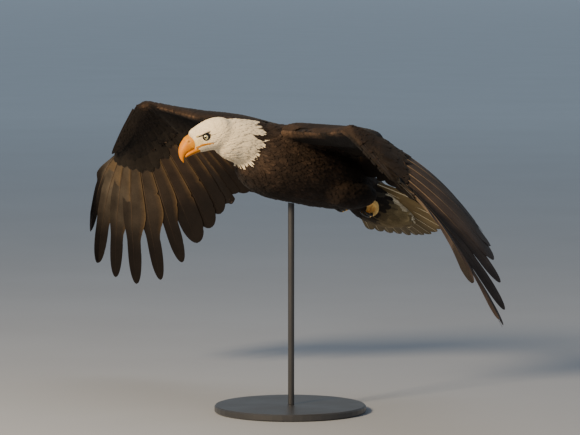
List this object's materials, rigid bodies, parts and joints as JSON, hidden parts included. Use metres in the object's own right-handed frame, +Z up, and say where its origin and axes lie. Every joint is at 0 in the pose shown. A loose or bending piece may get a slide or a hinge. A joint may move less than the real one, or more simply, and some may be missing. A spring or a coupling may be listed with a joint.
{
  "type": "flying eagle model",
  "caption": "Still life-size model of an adult bald eagle in a deep downstroke, head turned to its right, on a round base with one rod.",
  "frame": {"origin": "centre of the stand's flat underside, on the floor", "axes": "+Z up, the bird heads along -Y and its left side is towards +X"},
  "size_m": [1.6032, 0.6671, 0.6862],
  "materials": {
    "body_feather": "matt overlapping dark brown feathers with paler edges",
    "flight_feather": "satin dark brown vanes with pale shafts",
    "tail_feather": "soft white tail feathers with a grey and tan cast",
    "head_feather": "soft cream-white pointed feathers",
    "bill": "smooth orange-yellow horn",
    "eye": "wet pale yellow iris and black pupil",
    "toe_skin": "yellow scaled skin",
    "talon": "polished black horn",
    "stand": "satin black"
  },
  "bodies": {
    "root": {"bill_lower": "bill", "bill_upper": "bill", "eye_left": "eye", "eye_right": "eye", "foot_left": "toe_skin", "foot_right": "toe_skin", "head": "head_feather", "neck": "head_feather", "primary_left_01": "flight_feather", "primary_left_02": "flight_feather", "primary_left_03": "flight_feather", "primary_left_04": "flight_feather", "primary_left_05": "flight_feather", "primary_left_06": "flight_feather", "primary_left_07": "flight_feather", "primary_left_08": "flight_feather", "primary_left_09": "flight_feather", "primary_left_10": "flight_feather", "primary_right_01": "flight_feather", "primary_right_02": "flight_feather", "primary_right_03": "flight_feather", "primary_right_04": "flight_feather", "primary_right_05": "flight_feather", "primary_right_06": "flight_feather", "primary_right_07": "flight_feather", "primary_right_08": "flight_feather", "primary_right_09": "flight_feather", "primary_right_10": "flight_feather", "secondaries_left": "flight_feather", "secondaries_right": "flight_feather", "stand_base": "stand", "stand_rod": "stand", "tail_coverts": "tail_feather", "tail_fan": "tail_feather", "talon_left_1": "talon", "talon_left_2": "talon", "talon_left_3": "talon", "talon_right_1": "talon", "talon_right_2": "talon", "talon_right_3": "talon", "thigh_left": "body_feather", "thigh_right": "body_feather", "trunk": "body_feather", "wing_arm_left": "body_feather", "wing_arm_right": "body_feather", "wing_hand_left": "body_feather", "wing_hand_right": "body_feather"}
  },
  "joints": []
}
